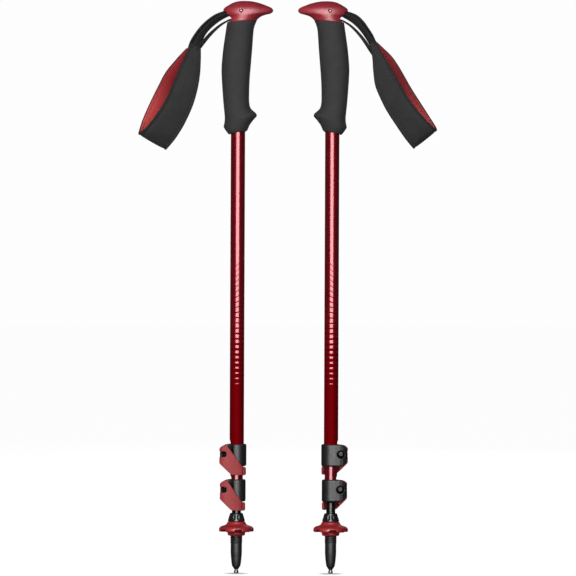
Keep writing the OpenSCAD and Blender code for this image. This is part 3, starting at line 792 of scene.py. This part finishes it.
class Ribbon:
    """A strip along a line of stations: centre, half-width vector, outward normal and length, in pole millimetres."""

    def __init__(self, stations, n=10, even=None):
        r = smooth_rows(stations, n)
        if even:
            seg = np.linalg.norm(np.diff(r[:, :3], axis=0), axis=1)
            d = np.concatenate([[0], np.cumsum(seg)])
            k = max(4, int(round(d[-1] / even)))
            t = np.linspace(0, d[-1], k + 1)
            r = np.stack([np.interp(t, d, r[:, i]) for i in range(6)], -1)
        self.C, self.H = r[:, :3], r[:, 3:]
        T = np.gradient(self.C, axis=0)
        self.w = np.linalg.norm(self.H, axis=1)
        W = self.H / self.w[:, None]
        T = T - (T * W).sum(1)[:, None] * W
        T /= np.linalg.norm(T, axis=1)[:, None]
        self.W, self.T = W, T
        self.N = np.cross(W, T)
        seg = np.linalg.norm(np.diff(self.C, axis=0), axis=1)
        self.d = np.concatenate([[0], np.cumsum(seg)])
        self.total = self.d[-1]

    def at(self, j, w, n):
        return self.C[j] + self.W[j] * w + self.N[j] * n

    def sweep(self, side, name, section):
        """section(half_width, distance) -> list of (w, n), the same count every time."""
        rows, weave = [], []
        for j in range(len(self.C)):
            sec = section(self.w[j], self.d[j])
            rows.append([self.at(j, w, n) for w, n in sec])
            weave.append([(self.d[j], w, n) for w, n in sec])
        v, f = grid(place(side, np.array(rows), turned=False), cap_start=True, cap_end=True)
        ob = new_object(name, v, f)
        at = ob.data.attributes.new("weave", "FLOAT_VECTOR", "POINT")
        at.data.foreach_set("vector", np.array(weave, float).reshape(-1))
        return ob


def bump1(x, c, s):
    return math.exp(-((x - c) / s) ** 2)


def pad_section(rib):
    us = np.concatenate([np.linspace(-1, -0.86, 5), np.linspace(-0.84, -0.70, 12), np.linspace(-0.66, 0.66, 26), np.linspace(0.70, 0.84, 12), np.linspace(0.86, 1, 5)])

    def sec(w, d):
        end = min(d, rib.total - d)
        full = min(1.0, max(0.0, end / 22.0))
        fold = math.exp(-((d - rib.total / 2) / 9.0) ** 2)
        mid = 1.7 + 1.35 * (full * full * (3 - 2 * full)) * (1 - 0.85 * fold)
        hw = w - 0.35
        out = []
        for u in us:
            x = u * hw
            crown = 1.15 + (mid - 1.15) * (1 - abs(u) ** 3.2)
            seam = 0.62 * bump1(abs(x), hw - 3.0, 0.42) * min(1, w / 8)
            out.append((x, crown - seam))
        back = [(x, 0.15) for x in np.linspace(hw, -hw, 14)]
        return out + back
    return sec


def lining_section(rib):
    def sec(w, d):
        hw = w - 0.4
        top = [(x, 0.15) for x in np.linspace(-hw, hw, 12)]
        us = np.linspace(1, -1, 40)
        low = []
        for u in us:
            x = u * hw
            puff = -0.75 - 0.7 * (1 - abs(u) ** 3.0)
            seam = 0.35 * bump1(abs(x), hw - 2.7, 0.45) * min(1, w / 8)
            low.append((x, puff + seam))
        return top + low
    return sec


def binding_section(sgn):
    def sec(w, d):
        p = [(w - 2.05, 1.45), (w - 1.9, 1.95), (w - 1.3, 2.0), (w - 0.55, 1.8), (w + 0.05, 1.2), (w + 0.2, 0.3), (w + 0.1, -0.4), (w - 0.2, -0.75),
             (w - 0.55, -0.85), (w - 0.8, -0.7), (w - 0.9, -0.3), (w - 1.1, 0.3), (w - 1.6, 1.0)]
        k = min(1.0, w / 6)
        p = [(w + (x - w) * k, n * (0.6 + 0.4 * k)) for x, n in p]
        return [(sgn * x, n) for x, n in p]
    return sec


def stitch_mesh(side, name, rib, rows, pitch=3.1, length=2.3, r=0.24):
    """Short sewn threads along lines at a set distance from the band's edges."""
    V, F = [], []
    seg = 6
    for inset, height, sgn in rows:
        t = 6.0
        while t < rib.total - 6.0:
            ends = []
            for dd in (t, t + length):
                j = min(len(rib.d) - 2, int(np.searchsorted(rib.d, dd) - 1))
                k = (dd - rib.d[j]) / (rib.d[j + 1] - rib.d[j])
                w = rib.w[j] * (1 - k) + rib.w[j + 1] * k
                x = sgn * (w - inset)
                P = rib.at(j, x, height(w)) * (1 - k) + rib.at(j + 1, x, height(w)) * k
                ends.append((P, rib.N[j]))
            (a, na), (b, _) = ends
            ax = (b - a) / np.linalg.norm(b - a)
            u = np.cross(ax, na)
            u /= np.linalg.norm(u)
            n = np.cross(u, ax)
            sig = 1.0 if np.dot(n, na) > 0 else -1.0
            face = 1.0 if height(8) > 0 else -1.0
            base = len(V)
            prof = [(0.0, 0.35, -0.5), (0.12, 0.9, -0.1), (0.35, 1.0, 0.15), (0.65, 1.0, 0.15), (0.88, 0.9, -0.1), (1.0, 0.35, -0.5)]
            for f, rr, lift in prof:
                c = a + (b - a) * f + n * sig * face * lift * r
                for i in range(seg):
                    an = 2 * math.pi * i / seg
                    V.append(c + (u * math.cos(an) + n * math.sin(an)) * r * rr)
            for q in range(len(prof) - 1):
                for i in range(seg):
                    i2 = (i + 1) % seg
                    F.append((base + q * seg + i, base + q * seg + i2, base + (q + 1) * seg + i2, base + (q + 1) * seg + i))
            F.append(tuple(base + i for i in range(seg)))
            F.append(tuple(base + (len(prof) - 1) * seg + i for i in range(seg)))
            t += pitch
    ob = new_object(name, place(side, np.array(V), turned=False), F)
    return ob


def web_section(th):
    def sec(w, d):
        e = th / 2
        return [(-w, 0), (-w + 0.12, e * 0.6), (-w + 0.5, e), (-w * 0.5, e), (0, e), (w * 0.5, e), (w - 0.5, e), (w - 0.12, e * 0.6), (w, 0),
                (w - 0.12, -e * 0.6), (w - 0.5, -e), (w * 0.5, -e), (0, -e), (-w * 0.5, -e), (-w + 0.5, -e), (-w + 0.12, -e * 0.6)]
    return sec


def line_station(x, z, y, width, turn, lean):
    """Centre of a strand, its width, and how far its face is turned from edge-on (0) to the front (90 degrees)."""
    a = math.radians(turn)
    h = width / 2
    # edge-on the width lies along Y; face-on it lies across the strand in the front view
    nx, nz = math.cos(math.radians(lean)), math.sin(math.radians(lean))
    return np.array([x, y, z, nx * h * math.sin(a), h * math.cos(a), nz * h * math.sin(a)])


# x, z of the centre, depth, width, turn; the slope comes from the line itself
STRANDS = {
    "left": {
        "far": [(-5.5, 627.4, 0.8, 11, 0), (-11.0, 627.3, 0.9, 11, 8), (-16.0, 626.6, 1.0, 11, 22), (-24.8, 622.9, 1.4, 11, 28), (-33.4, 616.8, 1.8, 11, 29),
                (-40.9, 609.5, 2.2, 11, 30), (-47.4, 600.6, 2.4, 10.4, 34), (-51.8, 593.0, 2.0, 8.6, 42), (-55.0, 585.6, 1.2, 5.5, 50)],
        "near": [(-5.5, 625.4, -0.8, 11, 0), (-10.0, 625.4, -1.0, 11, 8), (-14.2, 624.7, -1.2, 11, 20), (-22.6, 620.5, -1.5, 11, 27), (-30.8, 614.2, -1.7, 11, 29),
                 (-37.7, 607.1, -1.9, 11, 32), (-43.0, 599.2, -2.2, 10.6, 42), (-47.0, 591.4, -2.8, 9.6, 52), (-51.0, 583.0, -3.6, 8, 60)],
        "low": [(-4.5, 620.4, 0, 11, 0), (-9.5, 619.6, 0, 11, 0), (-13.4, 617.8, 0, 11, 0), (-20.2, 613.6, -0.2, 11, 4), (-27.8, 607.1, -0.4, 11, 9),
                (-34.4, 600.2, -0.7, 11, 13), (-40.6, 592.6, -1.0, 10, 18), (-46.4, 584.6, -1.6, 7, 26)],
    },
    "right": {
        "far": [(-5.5, 627.4, 0.8, 11, 0), (-11.0, 627.3, 0.9, 11, 8), (-16.4, 626.4, 1.0, 11, 26), (-25.2, 622.6, 1.4, 11, 34), (-32.4, 616.2, 1.8, 11, 33),
                (-37.6, 609.3, 2.1, 11, 29), (-42.2, 602.6, 2.2, 10.4, 30), (-45.4, 597.8, 1.6, 7.5, 28), (-48.6, 592.8, 0.6, 4, 24)],
        "near": [(-5.5, 625.4, -0.8, 11, 0), (-10.0, 625.3, -1.0, 11, 8), (-14.4, 624.3, -1.2, 11, 22), (-22.6, 620.2, -1.4, 11, 32), (-29.7, 613.9, -1.6, 11, 31),
                 (-35.0, 607.3, -1.8, 11, 27), (-39.8, 600.4, -2.1, 10.6, 30), (-44.6, 593.0, -2.4, 9.4, 40), (-49.0, 585.6, -3.0, 7.5, 50)],
        "low": [(-4.5, 620.4, 0, 11, 0), (-9.5, 619.5, 0, 11, 0), (-13.4, 617.7, 0, 11, 0), (-19.2, 614.0, -0.2, 11, 3), (-25.6, 608.3, -0.4, 11, 6),
                (-31.7, 601.5, -0.7, 11, 9), (-36.9, 594.6, -0.9, 11, 12), (-41.6, 587.4, -1.3, 9.5, 16), (-46.6, 580.0, -2.0, 7, 24)],
    },
}


def strand(side, key):
    rows = np.array(STRANDS[side][key], float)
    out = []
    g = np.gradient(rows[:, :2], axis=0)
    for i, (x, z, y, w, t) in enumerate(rows):
        tx, tz = g[i] / np.linalg.norm(g[i])
        # across the strand in the front view, pointing towards the pole and down
        lean = math.degrees(math.atan2(tx, -tz))
        out.append(line_station(x, z, y, w, t, lean))
    rib = Ribbon(out, 8, even=0.9)
    ob = rib.sweep(side, f"{side}_webbing_{key}", web_section(1.5))
    return ob


def make_strap(side):
    rows = [station(side, *r) for r in BAND[side]]
    rib = Ribbon(rows, 12, even=0.8)
    if np.dot(rib.N[3], (0, -1, 0)) < 0:
        rib.N = -rib.N
    body = side + "_strap"
    shell = rib.sweep(side, side + "_pad_shell", pad_section(rib))
    finish_piece(shell, M["strap_shell"], body, (side + "_strap_pad",))
    lin = rib.sweep(side, side + "_pad_lining", lining_section(rib))
    finish_piece(lin, M["strap_lining"], body, (side + "_strap_lining",))
    for k, sgn in (("inner", 1), ("outer", -1)):
        b = rib.sweep(side, f"{side}_pad_binding_{k}", binding_section(sgn))
        finish_piece(b, M["webbing"], body, ())
    st = stitch_mesh(side, side + "_pad_stitches", rib, [
        (3.35, lambda w: 1.50, 1), (3.35, lambda w: 1.50, -1)])
    finish_piece(st, M["thread"], body, ())
    st2 = stitch_mesh(side, side + "_lining_stitches", rib, [
        (3.1, lambda w: -0.98, 1), (3.1, lambda w: -0.98, -1)])
    finish_piece(st2, M["thread_red"], body, ())
    first = True
    for k in ("far", "near", "low"):
        ob = strand(side, k)
        ob.data.materials.clear()
        ob.data.materials.append(M["webbing"])
        a = place(side, (-13.0, 0, 623.5), turned=False)
        b = place(side, (-36.0, 0, 604.0), turned=False)
        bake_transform(ob)
        if first:
            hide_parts(side + "_strap_webbing")
            first = False
    return rib


# ------------------------------------------------------------------ build

for side in ("left", "right"):
    make_foam(side)
    make_cap(side)
    make_basket(side)
    make_ferrule(side)
    make_strap(side)
    for lv in ("upper", "lower"):
        body = side + ("_middle" if lv == "lower" else "_upper")
        softened(f"{side}_{lv}_collar", f"{side}_{lv}_clamp_collar", M["clamp_plastic"], body, iters=6)
        softened(f"{side}_{lv}_lever", f"{side}_{lv}_clamp_lever", M["red_plastic"], f"{side}_{lv}_lever", iters=12)

CAD_MATS = {
    "upper_shaft": "_upper_tube", "middle_shaft": "_middle_tube", "lower_shaft": "_lower_tube",
    "strap_pin": "pin_steel", "strap_wedge": "black_plastic", "strap_anchor": "webbing", "grip_core": "black_plastic",
    "middle_guide": "black_plastic", "lower_guide": "black_plastic",
    "upper_pivot": "black_steel", "lower_pivot": "black_steel", "upper_screw": "black_steel", "lower_screw": "black_steel",
    "carbide_tip": "carbide",
}
for side in ("left", "right"):
    for node, key in CAD_MATS.items():
        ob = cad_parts[f"{side}_{node}"]
        mat = M[side + key] if key.startswith("_") else M[key]
        if not ob.material_slots:
            ob.data.materials.append(mat)
        for sl in ob.material_slots:
            sl.material = mat
